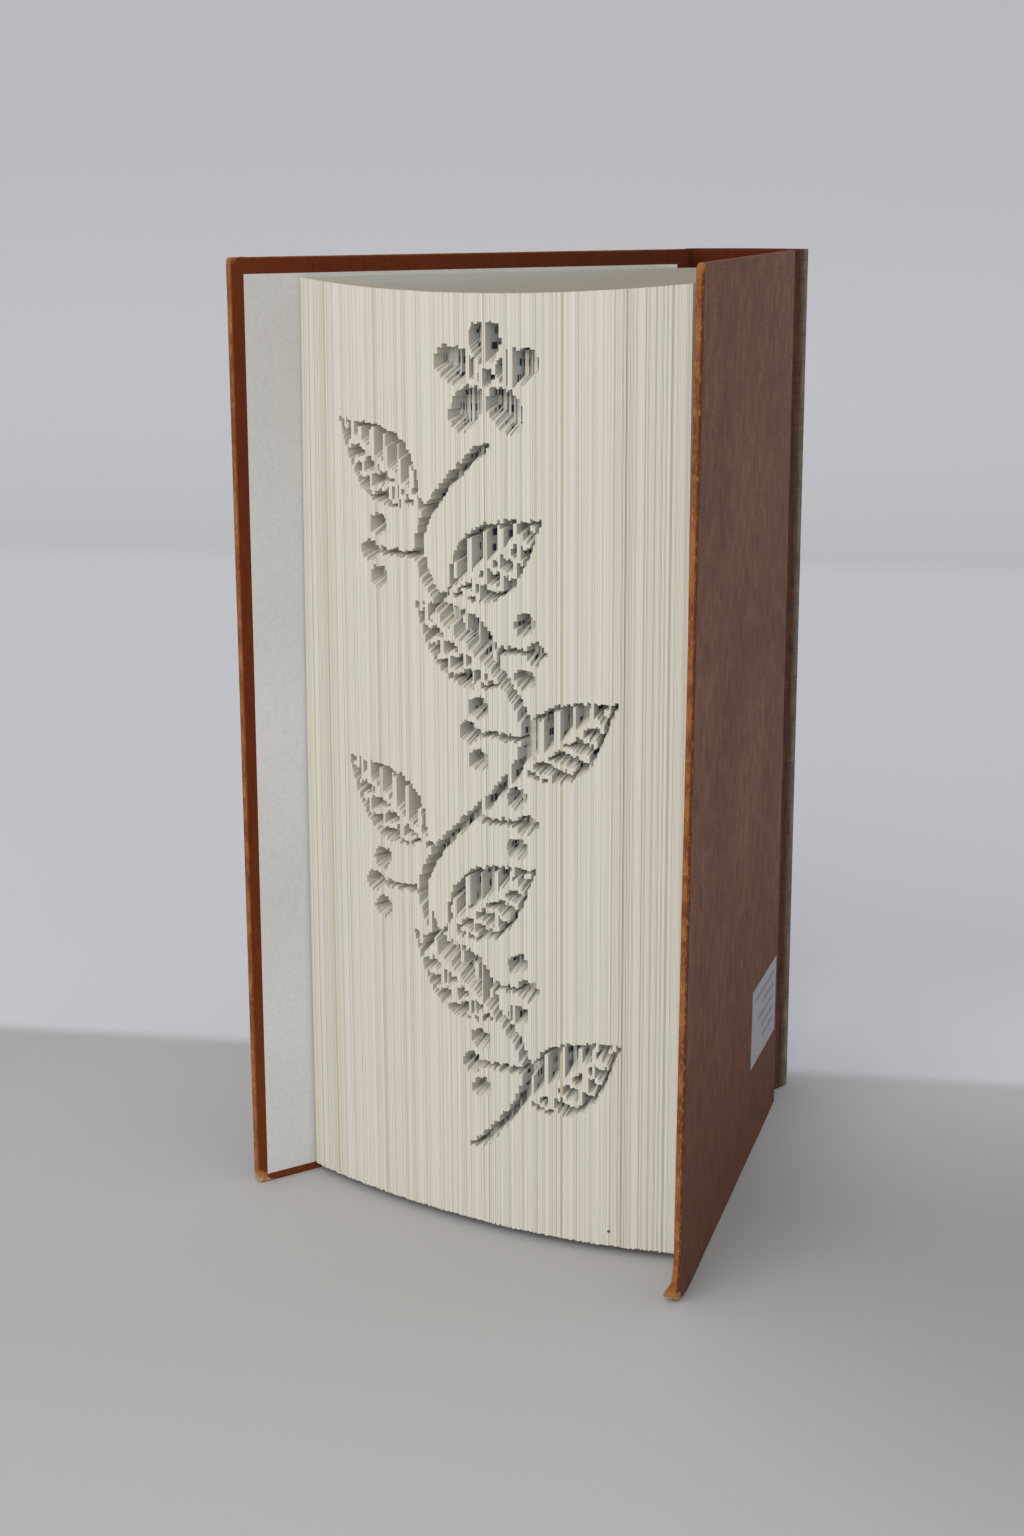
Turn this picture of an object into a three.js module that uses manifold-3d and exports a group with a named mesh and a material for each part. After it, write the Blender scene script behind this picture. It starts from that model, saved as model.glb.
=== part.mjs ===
// A thick cloth-bound hardback standing on its tail, with its leaves fanned out and both covers splayed.
// A leafy sprig is cut into the leaves' fore edges.
// Millimetres. +Z is up, the spine is towards +Y, the fore edge towards -Y and the front cover on the -X side.
import * as THREE from "three";
import { mergeVertices } from "three/addons/utils/BufferGeometryUtils.js";
import Module from "manifold-3d";

const wasm = await Module();
wasm.setup();

// Book block
const leaf_width = 125; // root to fore edge, middle leaf
const leaf_height = 233;
const block_thickness = 25.2; // across the leaves' roots
const tail_square = 2; // floor to the leaves' lower edges
const fan_deg = 38.92; // between the two outermost leaves
const fore_edge_bow = 2.0; // how far the outermost leaves draw back
const fore_edge_skew = 1.6; // extra draw back at the rear leaf, and as much less at the front one
const cocked = 5.38; // how far the rear of the block sits behind its front
const head_dip = 2.6; // how far the middle leaf's fore edge stops short of the outermost ones at the head
const fan_columns = 64; // strips of leaves that the cut sprig is stepped in

// Case
const cover_height = 240;
const cover_reach = 135.5; // hinge line to the cloth's fore edge
const board_setback = 4.5; // hinge line to the board's back edge
const board_thickness = 1.0;
const cloth = 0.35;
const glue = 0.1; // clearance between pieces that are glued together
const turn_in = 15; // cloth folded over the board's inside
const cover_corner = 0.7; // rounding of the cloth along the fore edge
const corner_steps = 3;
const shoulder = 9; // leaves' roots to the hinge line
const hinge_gap = 0.6; // hinge line to the cloth's cut on each side of it
const groove_rise = 2.6; // hinge line to where the cloth climbs the board's back edge
const leaf_clearance = 0.3; // free gap on each side of a flyleaf
const cover_splay_deg = 0.5; // how much wider a cover opens than the leaf beside it

// Endpapers
const pastedown = 0.2;
const pastedown_head = 4.0; // margin of cloth left showing
const pastedown_tail = 2.3;
const pastedown_fore = 3.5;
const flyleaf = 0.3;
const flyleaf_setback = 0.5; // short of the block's root and fore edge

// Spine
const spine_width = 35.3; // ridge to ridge
const ridge_back = 10.8; // hinge line to the ridge
const ridge_radius = 1.8;
const spine_bulge = 4.6; // height of the round over its chord
const shoulder_run = 3.0; // hinge line to where the cloth leaves the block's shoulder
const flare_steps = 8;
const ridge_steps = 4;
const round_steps = 12;
const inlay = 1.0;
const mull = 0.3;
const mull_short = 12; // bare spine left at head and tail
const lining = 0.5;
const lining_short = 3;
const spine_paper_inset = 0.6; // mull and lining stay this far inside the block's corners

// Paper label on the back cover
const label_width = 38;
const label_height = 21.6;
const label_thickness = 0.15;
const label_from_hinge = 8.0;
const label_from_tail = 24.85;
const label_tilt_deg = 2.5; // its fore-edge end sits high

// Sprig cut into the fore edge
const cut_depth = 5;
const fore_edge_half = 55; // middle of the fore edge to its rear or front end, along the fan
const stem_foot = 22;
const stem_top = 198;
const stem_swing = 15;
const stem_pitch = 86;
const stem_width = 3.0;
const stalk_width = 1.8;
const foliage_count = 8; // leaves of the sprig, on alternate sides of its stem
const foliage_first = 34; // height of the lowest one's joint
const foliage_spacing = 21;
const foliage_rise_deg = 36;
const foliage_stalk = 4;
const foliage_length = 31;
const foliage_half_width = 8.8;
const foliage_fullness = 0.8; // under 1, the widest place is nearer the stalk
const foliage_rib = 1.5;
const foliage_rib_end = 0.8; // share of the length that the uncut rib runs along
const berry_radius = 2.8;
const berry_reach = 13; // stem to the middle berry's near edge
const berry_spread = 6.4;
const bloom_petals = 5;
const bloom_ring = 9; // bloom's centre to a petal's centre
const petal_half_length = 6;
const petal_half_width = 4.3;
const bloom_heart = 2.4;
const cut_step = 1; // the cuts' heights go in these steps
const shortest_cut = 1.5;

const paint = (name, color, roughness) =>
  new THREE.MeshStandardMaterial({ name, color, roughness, metalness: 0 });
const materials = {
  paper: paint("paper", 0xc7c2b8, 0.9),
  endpaper: paint("endpaper", 0xb9b8b2, 0.85),
  cloth: paint("cloth", 0x7c4a29, 0.8),
  board: paint("board", 0xa08b6c, 0.95),
  gauze: paint("gauze", 0xcfc8b4, 0.95),
  kraft: paint("kraft", 0x9b7a55, 0.9),
  label: paint("label", 0x8f8c90, 0.7),
};

// Solids

function solidOf(geometry) {
  const bare = geometry.clone();
  bare.deleteAttribute("normal");
  bare.deleteAttribute("uv");
  const merged = mergeVertices(bare, 1e-5);
  return new wasm.Manifold(
    new wasm.Mesh({
      numProp: 3,
      vertProperties: merged.attributes.position.array,
      triVerts: Uint32Array.from(merged.index.array),
    }),
  );
}

function geometryOf(solid) {
  const mesh = solid.getMesh();
  const geometry = new THREE.BufferGeometry();
  geometry.setAttribute("position", new THREE.BufferAttribute(mesh.vertProperties, 3));
  geometry.setIndex(new THREE.BufferAttribute(mesh.triVerts, 1));
  geometry.computeVertexNormals();
  return geometry;
}

// An upright prism over a plan outline.
function prism(outline, low, high) {
  const options = { depth: high - low, bevelEnabled: false };
  const geometry = new THREE.ExtrudeGeometry(new THREE.Shape(outline), options);
  return geometry.translate(0, 0, low);
}

function rectangle(x0, y0, x1, y1) {
  return [
    new THREE.Vector2(x0, y0),
    new THREE.Vector2(x1, y0),
    new THREE.Vector2(x1, y1),
    new THREE.Vector2(x0, y1),
  ];
}

const join = (...geometries) => geometryOf(wasm.Manifold.union(geometries.map(solidOf)));

function piece(name, geometry, material) {
  const mesh = new THREE.Mesh(geometry, material);
  mesh.name = name;
  return mesh;
}

// Plan of the block. A leaf is named by t, from -1 at the front cover to 1 at the back cover.

const fanHalf = THREE.MathUtils.degToRad(fan_deg / 2);
const rootTilt = Math.asin(cocked / block_thickness);
const leafRoot = (t) =>
  new THREE.Vector2(Math.cos(rootTilt), Math.sin(rootTilt)).multiplyScalar((t * block_thickness) / 2);
const leafDirection = (t) => new THREE.Vector2(Math.sin(t * fanHalf), -Math.cos(t * fanHalf));
const leafReach = (t) => leaf_width - fore_edge_bow * t * t - fore_edge_skew * t;
const leafPoint = (t, reach) => leafRoot(t).add(leafDirection(t).multiplyScalar(reach));
const leafTail = tail_square;
const leafHead = tail_square + leaf_height;

// The sprig, in mm along the fore edge (across) and up it (up).

const stemAcross = (up) => stem_swing * Math.sin((2 * Math.PI * (up - stem_foot)) / stem_pitch);
const stemSlope = (up) =>
  ((2 * Math.PI * stem_swing) / stem_pitch) * Math.cos((2 * Math.PI * (up - stem_foot)) / stem_pitch);

function inStem(across, up) {
  const half = (stem_width / 2) * Math.hypot(1, stemSlope(up));
  return up > stem_foot && up < stem_top && Math.abs(across - stemAcross(up)) < half;
}

function inFoliage(across, up, index) {
  const side = index % 2 ? -1 : 1;
  const joint = foliage_first + index * foliage_spacing;
  const rise = THREE.MathUtils.degToRad(foliage_rise_deg);
  const dx = (across - stemAcross(joint)) * side;
  const dz = up - joint;
  const along = dx * Math.cos(rise) + dz * Math.sin(rise);
  const beside = Math.abs(dz * Math.cos(rise) - dx * Math.sin(rise));
  const share = (along - foliage_stalk) / foliage_length;
  if (along < 0 || share > 1) return false;
  if (share < 0) return beside < stalk_width / 2;
  const half = foliage_half_width * Math.sin(Math.PI * Math.pow(share, foliage_fullness));
  return beside < half && (beside > foliage_rib / 2 || share > foliage_rib_end);
}

function inBerries(across, up, index) {
  const side = index % 2 ? -1 : 1;
  const joint = foliage_first + (index + 0.5) * foliage_spacing;
  const dx = (across - stemAcross(joint)) * -side;
  const dz = up - joint;
  if (dx > 0 && dx < berry_reach && Math.abs(dz) < stalk_width / 2) return true;
  return [-1, 0, 1].some((n) => {
    const x = berry_reach + berry_radius * (1 - Math.abs(n));
    return Math.hypot(dx - x, dz - n * berry_spread) < berry_radius;
  });
}

function inBloom(across, up) {
  const dx = across - stemAcross(stem_top);
  const dz = up - stem_top - bloom_ring - petal_half_length;
  const radius = Math.hypot(dx, dz);
  const sector = (2 * Math.PI) / bloom_petals;
  const turn = Math.atan2(dx, dz);
  const off = turn - sector * Math.round(turn / sector);
  const out = (radius * Math.cos(off) - bloom_ring) / petal_half_length;
  const beside = (radius * Math.sin(off)) / petal_half_width;
  return radius < bloom_heart || Math.hypot(out, beside) < 1;
}

function inSprig(across, up) {
  if (inStem(across, up) || inBloom(across, up)) return true;
  for (let index = 0; index < foliage_count; index += 1) {
    if (inFoliage(across, up, index)) return true;
    if (index < foliage_count - 1 && inBerries(across, up, index)) return true;
  }
  return false;
}

// The cuts in one strip of leaves, as [low, high] heights. Odd strips lie half a step off even ones, so that two
// cuts never meet along a single edge.
function cutsIn(column) {
  const across = (((column + 0.5) * 2) / fan_columns - 1) * fore_edge_half;
  const cuts = [];
  let start = null;
  const lowest = leafTail + cut_step * (1 + (column % 2) / 2);
  for (let up = lowest; up < leafHead - cut_step; up += cut_step) {
    const cut = inSprig(across, up + cut_step / 2);
    if (cut && start === null) start = up;
    if (!cut && start !== null) {
      if (up - start >= shortest_cut) cuts.push([start, up]);
      start = null;
    }
  }
  return cuts;
}

// The fanned leaves as one solid. Its head falls from the roots to the fore edge, most in the middle of the fan.
function fannedLeaves(steps) {
  const points = [];
  for (const t of steps) {
    const root = leafRoot(t);
    const fore = leafPoint(t, leafReach(t));
    points.push(root.x, root.y, leafTail, fore.x, fore.y, leafTail);
    points.push(fore.x, fore.y, leafHead - head_dip * (1 - t * t), root.x, root.y, leafHead);
  }
  const faces = [];
  const quad = (a, b, c, d) => faces.push(a, b, c, a, c, d);
  const last = 4 * (steps.length - 1);
  for (let at = 0; at < last; at += 4) {
    for (let k = 0; k < 4; k += 1) {
      const next = (k + 1) % 4;
      quad(at + k, at + 4 + k, at + 4 + next, at + next);
    }
  }
  quad(0, 1, 2, 3);
  quad(last + 3, last + 2, last + 1, last);
  const geometry = new THREE.BufferGeometry();
  geometry.setAttribute("position", new THREE.Float32BufferAttribute(points, 3));
  geometry.setIndex(faces);
  return geometry;
}

function textBlock() {
  const steps = Array.from({ length: fan_columns + 1 }, (_, n) => (2 * n) / fan_columns - 1);
  const block = solidOf(fannedLeaves(steps));
  const notches = [];
  for (let column = 0; column < fan_columns; column += 1) {
    const [a, b] = [steps[column], steps[column + 1]];
    const plan = [
      leafPoint(a, leafReach(a) - cut_depth),
      leafPoint(a, leafReach(a) + cut_depth),
      leafPoint(b, leafReach(b) + cut_depth),
      leafPoint(b, leafReach(b) - cut_depth),
    ];
    for (const [low, high] of cutsIn(column)) notches.push(solidOf(prism(plan, low, high)));
  }
  return geometryOf(block.subtract(wasm.Manifold.union(notches)));
}

// A cover lies in its own plan: x runs from the hinge line to the fore edge, and y out of the book, with 0 at the
// middle of the cloth in the groove. side is 1 for the back cover and -1 for the front one, which is its mirror.

const clothIn = -cloth / 2; // inside face of the groove's cloth, and of the pastedown
const turnIn = clothIn + pastedown + glue;
const boardIn = turnIn + cloth + glue;
const boardOut = boardIn + board_thickness;
const coverFace = boardOut + glue + cloth;
const boardFore = cover_reach - cloth - glue;

function coverOutline(side) {
  const outline = new THREE.Shape();
  const back = board_setback - glue - cloth;
  const lap = cover_reach - turn_in;
  const r = cover_corner;
  outline.moveTo(hinge_gap, clothIn);
  outline.lineTo(hinge_gap, clothIn + cloth);
  outline.lineTo(groove_rise, clothIn + cloth);
  outline.quadraticCurveTo(back, clothIn + cloth, back, turnIn + cloth);
  outline.lineTo(back, coverFace - r);
  outline.absarc(back + r, coverFace - r, r, Math.PI, Math.PI / 2, true);
  outline.lineTo(cover_reach - r, coverFace);
  outline.absarc(cover_reach - r, coverFace - r, r, Math.PI / 2, 0, true);
  outline.lineTo(cover_reach, turnIn + r);
  outline.absarc(cover_reach - r, turnIn + r, r, 0, -Math.PI / 2, true);
  outline.lineTo(lap, turnIn);
  outline.lineTo(lap, turnIn + cloth);
  outline.lineTo(cover_reach - cloth, turnIn + cloth);
  outline.lineTo(cover_reach - cloth, coverFace - cloth);
  outline.lineTo(board_setback - glue, coverFace - cloth);
  outline.lineTo(board_setback - glue, turnIn);
  outline.quadraticCurveTo(board_setback - glue, clothIn, groove_rise, clothIn);
  return outline.getPoints(corner_steps).map((p) => new THREE.Vector2(p.x, p.y * side));
}

function caseCloth(side) {
  const back = board_setback - glue;
  const fore = cover_reach - cover_corner;
  const edge = rectangle(back, turnIn * side, fore, coverFace * side);
  const lap = rectangle(back, turnIn * side, fore, (turnIn + cloth) * side);
  return join(
    prism(coverOutline(side), 0, cover_height),
    prism(edge, 0, cloth),
    prism(edge, cover_height - cloth, cover_height),
    prism(lap, 0, turn_in),
    prism(lap, cover_height - turn_in, cover_height),
  );
}

function board(side) {
  const plan = rectangle(board_setback, boardIn * side, boardFore, boardOut * side);
  return prism(plan, cloth + glue, cover_height - cloth - glue);
}

// The pastedown laps over the turned-in cloth and fills the shallow field that the cloth frames.
function pastedownSheet(side) {
  const sheet = rectangle(
    board_setback,
    clothIn * side,
    cover_reach - pastedown_fore,
    (clothIn + pastedown) * side,
  );
  const field = rectangle(
    board_setback,
    clothIn * side,
    cover_reach - turn_in - glue,
    (turnIn + cloth) * side,
  );
  return join(
    prism(sheet, pastedown_tail, cover_height - pastedown_head),
    prism(field, turn_in + glue, cover_height - turn_in - glue),
  );
}

function labelSheet() {
  const plate = prism(
    rectangle(-label_width / 2, 0, label_width / 2, label_thickness),
    -label_height / 2,
    label_height / 2,
  );
  plate.rotateY(-THREE.MathUtils.degToRad(label_tilt_deg));
  return plate.translate(
    label_from_hinge + label_width / 2,
    coverFace + glue,
    label_from_tail + label_height / 2,
  );
}

// Where the cover on one side turns, and how its plan is turned from the book's.
const stack = leaf_clearance + flyleaf + leaf_clearance + cloth / 2;

function hinge(side) {
  const out = new THREE.Vector2(Math.cos(fanHalf) * side, Math.sin(fanHalf));
  return leafPoint(side, shoulder).add(out.multiplyScalar(stack));
}

function coverGroup(side, pieces) {
  const group = new THREE.Group();
  const at = hinge(side);
  group.position.set(at.x, at.y, 0);
  group.rotation.z = -Math.PI / 2 + side * (fanHalf + THREE.MathUtils.degToRad(cover_splay_deg));
  group.add(...pieces);
  return group;
}

// A free endpaper, in the plan of its cover.
function flyleafSheet(side) {
  const outside = (clothIn - leaf_clearance) * side;
  const reach = leafReach(side) - shoulder - flyleaf_setback;
  const plan = rectangle(flyleaf_setback - shoulder, outside, reach, outside - flyleaf * side);
  return prism(plan, leafTail, leafHead);
}

// The spine's case in its own plan: x runs from hinge to hinge, and y back from the line between them.

const hingeSpan = hinge(1).distanceTo(hinge(-1));
const hingeLine = hinge(1).sub(hinge(-1)).angle();
const hingeMiddle = hinge(1).add(hinge(-1)).multiplyScalar(0.5);

// The round of the back: its circle's radius at the cloth's outer face, its centre and how far it turns each way.
const chord = spine_width / 2 - ridge_radius;
const roundInside = (chord * chord + spine_bulge * spine_bulge) / (2 * spine_bulge);
const roundReach = Math.asin(chord / roundInside);
const roundCentre = ridge_back - roundInside * Math.cos(roundReach);
const roundOutside = roundInside + ridge_radius;

// One side of the cloth at a depth under its outer face, from the groove over the ridge to the middle of the back.
function spineHalf(side, depth) {
  const origin = new THREE.Vector2();
  const toSpine = (v) => v.rotateAround(origin, -hingeLine);
  const back = toSpine(leafDirection(side).negate());
  const out = toSpine(new THREE.Vector2(Math.cos(fanHalf) * side, Math.sin(fanHalf)));
  const start = new THREE.Vector2((side * hingeSpan) / 2, 0).addScaledVector(out, cloth / 2 - depth);
  const along = (run) => start.clone().addScaledVector(back, run);
  const ridge = new THREE.Vector2((spine_width / 2 - depth) * side, ridge_back);
  const lead = (ridge_back - shoulder_run) / 2;
  const flare = new THREE.CubicBezierCurve(
    along(shoulder_run),
    along(shoulder_run + lead),
    new THREE.Vector2(ridge.x, ridge.y - lead),
    ridge,
  );
  const points = [along(hinge_gap), ...flare.getPoints(flare_steps)];
  for (let n = 1; n <= ridge_steps; n += 1) {
    const turn = (n / ridge_steps) * (Math.PI / 2 - roundReach);
    const radius = ridge_radius - depth;
    points.push(
      new THREE.Vector2((chord + radius * Math.cos(turn)) * side, ridge_back + radius * Math.sin(turn)),
    );
  }
  for (let n = 1; n <= round_steps / 2; n += 1) points.push(onRound(depth, side * (1 - (2 * n) / round_steps)));
  return points;
}

// A point on the round of the back: share runs from -1 at the front ridge to 1 at the back one.
function onRound(depth, share) {
  const radius = roundOutside - depth;
  const turn = roundReach * share;
  return new THREE.Vector2(radius * Math.sin(turn), roundCentre + radius * Math.cos(turn));
}

// The cloth band's outline between its outer face and inner face.
function spineBand() {
  const face = (depth) => [...spineHalf(1, depth), ...spineHalf(-1, depth).slice(0, -1).reverse()];
  return [...face(0), ...face(cloth).reverse()];
}

// A strip that follows the round of the back, between two depths under the cloth's outer face.
function roundStrip(shallow, deep) {
  const shares = Array.from({ length: round_steps + 1 }, (_, n) => (2 * n) / round_steps - 1);
  return [
    ...shares.map((share) => onRound(shallow, share)),
    ...shares.reverse().map((share) => onRound(deep, share)),
  ];
}

const inlayOut = cloth + glue;
const inlayIn = inlayOut + inlay;

function spineCloth() {
  const lap = roundStrip(inlayIn + glue, inlayIn + glue + cloth);
  const edge = roundStrip(cloth / 2, inlayIn + glue + cloth);
  return join(
    prism(spineBand(), 0, cover_height),
    prism(edge, 0, cloth),
    prism(edge, cover_height - cloth, cover_height),
    prism(lap, 0, turn_in),
    prism(lap, cover_height - turn_in, cover_height),
  );
}

function spineInlay() {
  return prism(roundStrip(inlayOut, inlayIn), cloth + glue, cover_height - cloth - glue);
}

// Flat papers on the back of the block, in the plan of the leaves' roots.
function rootPaper(depth, thickness, short) {
  const half = block_thickness / 2 - spine_paper_inset;
  return prism(rectangle(-half, depth, half, depth + thickness), leafTail + short, leafHead - short);
}

const rootGroup = new THREE.Group();
rootGroup.rotation.z = rootTilt;
rootGroup.add(
  piece("spine_mull", rootPaper(glue, mull, mull_short), materials.gauze),
  piece("spine_lining", rootPaper(glue + mull + glue, lining, lining_short), materials.kraft),
);

const spineGroup = new THREE.Group();
spineGroup.position.set(hingeMiddle.x, hingeMiddle.y, 0);
spineGroup.rotation.z = hingeLine;
spineGroup.add(
  piece("spine_cloth", spineCloth(), materials.cloth),
  piece("spine_inlay", spineInlay(), materials.board),
);

const book = new THREE.Group();
book.add(
  piece("book_block", textBlock(), materials.paper),
  rootGroup,
  spineGroup,
  coverGroup(-1, [
    piece("front_flyleaf", flyleafSheet(-1), materials.endpaper),
    piece("front_cloth", caseCloth(-1), materials.cloth),
    piece("front_board", board(-1), materials.board),
    piece("front_pastedown", pastedownSheet(-1), materials.endpaper),
  ]),
  coverGroup(1, [
    piece("back_flyleaf", flyleafSheet(1), materials.endpaper),
    piece("back_cloth", caseCloth(1), materials.cloth),
    piece("back_board", board(1), materials.board),
    piece("back_pastedown", pastedownSheet(1), materials.endpaper),
    piece("back_label", labelSheet(), materials.label),
  ]),
);

// The origin is the middle of the book's footprint, on the floor.
const bounds = new THREE.Box3().setFromObject(book, true);
const centre = bounds.getCenter(new THREE.Vector3());
book.position.set(-centre.x, -centre.y, -bounds.min.z);

export default book;
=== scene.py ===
import math
import random

import bmesh
import bpy
import numpy as np
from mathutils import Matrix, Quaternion, Vector, noise


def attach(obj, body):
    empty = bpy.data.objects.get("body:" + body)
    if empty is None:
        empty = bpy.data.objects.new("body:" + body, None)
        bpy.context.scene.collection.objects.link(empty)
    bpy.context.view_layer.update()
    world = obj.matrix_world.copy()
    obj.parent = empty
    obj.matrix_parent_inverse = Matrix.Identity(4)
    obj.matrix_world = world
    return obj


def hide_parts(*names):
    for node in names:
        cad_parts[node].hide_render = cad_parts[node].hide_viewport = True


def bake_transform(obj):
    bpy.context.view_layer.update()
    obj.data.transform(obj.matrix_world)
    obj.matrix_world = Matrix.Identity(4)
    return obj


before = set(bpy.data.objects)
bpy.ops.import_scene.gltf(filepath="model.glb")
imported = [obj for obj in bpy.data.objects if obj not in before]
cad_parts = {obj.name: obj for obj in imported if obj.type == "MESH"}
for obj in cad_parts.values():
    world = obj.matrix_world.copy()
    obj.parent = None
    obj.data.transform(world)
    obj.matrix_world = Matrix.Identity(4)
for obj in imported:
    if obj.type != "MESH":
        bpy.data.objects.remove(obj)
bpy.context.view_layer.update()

# Sizes in mm, as the part has them.
LEAF_WIDTH = 125.0  # root to fore edge, middle leaf
LEAF_TAIL = 2.0
LEAF_HEAD = 235.0
HEAD_DIP = 2.6  # how far the middle leaf's fore edge stops short of the outermost ones at the head
BLOCK = 25.2  # across the leaves' roots
FAN_HALF = math.radians(38.92 / 2)
BOW = 2.0  # how far the outermost leaves draw back
SKEW = 1.6  # extra draw back at the rear leaf, and as much less at the front one
COCKED = 5.38  # how far the rear leaf's root is behind the front one's
ROOT_Y = 64.3423
FLYLEAF = 0.3
LEAF_CLEARANCE = 0.3  # on each side of a flyleaf
HEIGHT = 240.0
REACH = 135.5  # hinge line to a cover's fore edge
CLOTH = 0.35
COVER_TURN = FAN_HALF + math.radians(0.5)
SHOULDER = 9.0  # leaves' roots to the hinge line
HINGE_GAP = 0.6
JOINT_END = 2.6
TURN_IN_FACE = 0.125
COVER_FACE = 2.025
PASTE_MARGIN_HEAD = 4.0
PASTE_MARGIN_TAIL = 2.3
PASTE_MARGIN_FORE = 3.5
PASTE_BACK = 4.5
SPINE_WIDTH = 35.3
RIDGE_BACK = 10.8
RIDGE_RADIUS = 1.8
SPINE_BULGE = 4.6
SHOULDER_RUN = 3.0
SPINE_THICK = 1.9
LABEL = (38.0, 21.6, 0.15)
LABEL_HINGE = 8.0
LABEL_TAIL = 24.85
LABEL_TILT = math.radians(2.5)

# Sprig
FORE_HALF = 55.0
STEM_FOOT = 22.0
STEM_TOP = 198.0
STEM_SWING = 15.0
STEM_PITCH = 86.0
STEM_HALF = 1.5
STALK_HALF = 0.9
FOLIAGE_COUNT = 8
FOLIAGE_FIRST = 34.0
FOLIAGE_SPACING = 21.0
FOLIAGE_RISE = math.radians(36)
FOLIAGE_STALK = 4.0
FOLIAGE_LENGTH = 31.0
FOLIAGE_HALF_WIDTH = 8.8
FOLIAGE_FULLNESS = 0.8
FOLIAGE_RIM = 1.4
RIB_HALF = 0.75
RIB_END = 0.8
VEIN_PITCH = 5.2
VEIN_WIDTH = 1.3
BERRY_REACH = 13
BERRY_RADIUS = 2.8
BERRY_SPREAD = 6.4
BLOOM_RISE = 15
BLOOM_PETALS = 5
BLOOM_RING = 9
BLOOM_HEART = 2.4
PETAL_HALF_LENGTH = 6
PETAL_HALF_WIDTH = 4.3
CUT_DEPTHS = (3.6, 6.4)
CUT_RAGGED = 0.6
SHORTEST_CUT = 0.7
SHORTEST_BRIDGE = 0.5  # between two cuts

# Sizes that only the scene has
LEAF_COUNT = 340
GAPS = (0.02, 0.02, 0.02, 0.03, 0.03, 0.04, 0.05, 0.06, 0.08, 0.3)  # between leaves, shares of their pitch
FRONT_REACH = 0.6  # how much further the front leaf reaches
FRONT_LEAN = 2.0  # how much more than that at the tail
FRONT_SAG = 0.0125  # how far it has turned towards its cover, in radians
FREE_LEAF_MARGIN = 0.6
FREE_LEAF_FACES = (0.17, 0.05)  # distances from the front leaf
PAPER_LAP = 0.2  # how far a pastedown stands out from the turn-ins
CORNER = {-1: (1.8, 1.2), 1: (5.0, 2.0)}  # radii of a cover's corners, at the tail and the head
FIRST_ROW = 0.2290  # height of the uppermost print on a page, in metres


# Meshes


def solid(name, points, faces, materials, kinds=None, crease=None):
    """A mesh from points in mm. Edges sharper than crease degrees stay sharp, and the rest is smooth."""
    mesh = bpy.data.meshes.new(name)
    mesh.from_pydata([(x / 1000, y / 1000, z / 1000) for x, y, z in points], [], faces)
    for material in materials:
        mesh.materials.append(material)
    if kinds:
        mesh.polygons.foreach_set("material_index", kinds)
    if crease is not None:
        work = bmesh.new()
        work.from_mesh(mesh)
        bmesh.ops.recalc_face_normals(work, faces=work.faces)
        work.to_mesh(mesh)
        work.free()
        mesh.shade_smooth()
        mesh.set_sharp_from_angle(angle=math.radians(crease))
    piece = bpy.data.objects.new(name, mesh)
    bpy.context.scene.collection.objects.link(piece)
    return piece


def shell(name, outer, inner, materials, crease=50):
    """A closed sheet between two grids of points, each a list of columns.

    Its outer face has the first material.
    """
    columns, rows = len(outer), len(outer[0])
    points = [p for column in outer for p in column] + [p for column in inner for p in column]
    back = columns * rows

    def at(side, i, j):
        return side * back + i * rows + j

    faces = []
    for i in range(columns - 1):
        for j in range(rows - 1):
            faces.append((at(0, i, j), at(0, i + 1, j), at(0, i + 1, j + 1), at(0, i, j + 1)))
    kinds = [0] * len(faces)
    for i in range(columns - 1):
        for j in range(rows - 1):
            faces.append((at(1, i, j), at(1, i, j + 1), at(1, i + 1, j + 1), at(1, i + 1, j)))
        for j in (0, rows - 1):
            faces.append((at(0, i, j), at(1, i, j), at(1, i + 1, j), at(0, i + 1, j)))
    for j in range(rows - 1):
        for i in (0, columns - 1):
            faces.append((at(0, i, j), at(0, i, j + 1), at(1, i, j + 1), at(1, i, j)))
    kinds += [len(materials) - 1] * (len(faces) - len(kinds))
    return solid(name, points, faces, materials, kinds, crease)


def sheet(name, across, up, pair, materials, crease=50):
    """A shell over a grid of places. pair(a, b) gives its outer and its inner point at one of them."""
    grid = [[pair(a, b) for b in up] for a in across]
    outer = [[both[0] for both in column] for column in grid]
    inner = [[both[1] for both in column] for column in grid]
    return shell(name, outer, inner, materials, crease)


def smooth(value):
    value = min(max(value, 0.0), 1.0)
    return value * value * (3 - 2 * value)


def spaced(low, high, pitch):
    count = max(1, round((high - low) / pitch))
    return [low + (high - low) * n / count for n in range(count + 1)]


EDGE = [0, 0.04, 0.14, 0.3, 0.5, 0.75, 1.05, 1.5, 2.1, 2.9, 4, 6]  # distances of the rows near an edge
PITCH = 4.5  # of the other rows and columns


def heights():
    """Rows from tail to head, close together at both edges."""
    return EDGE[:-1] + spaced(EDGE[-1], HEIGHT - EDGE[-1], PITCH) + [HEIGHT - d for d in EDGE[-2::-1]]


def rounded(distance, radius):
    """How far the face has dropped at a distance from the rounded edge."""
    if distance >= radius:
        return 0.0
    return radius - math.sqrt(max(0.0, radius * radius - (radius - distance) ** 2))


# Materials


def rgb(red, green, blue):
    """Linear colour of an 8-bit sRGB one."""
    shares = [c / 255 for c in (red, green, blue)]
    linear = [c / 12.92 if c < 0.04045 else ((c + 0.055) / 1.055) ** 2.4 for c in shares]
    return (*linear, 1.0)


def grey(level):
    """A neutral factor for a colour."""
    return (level, level, level, 1)


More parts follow.
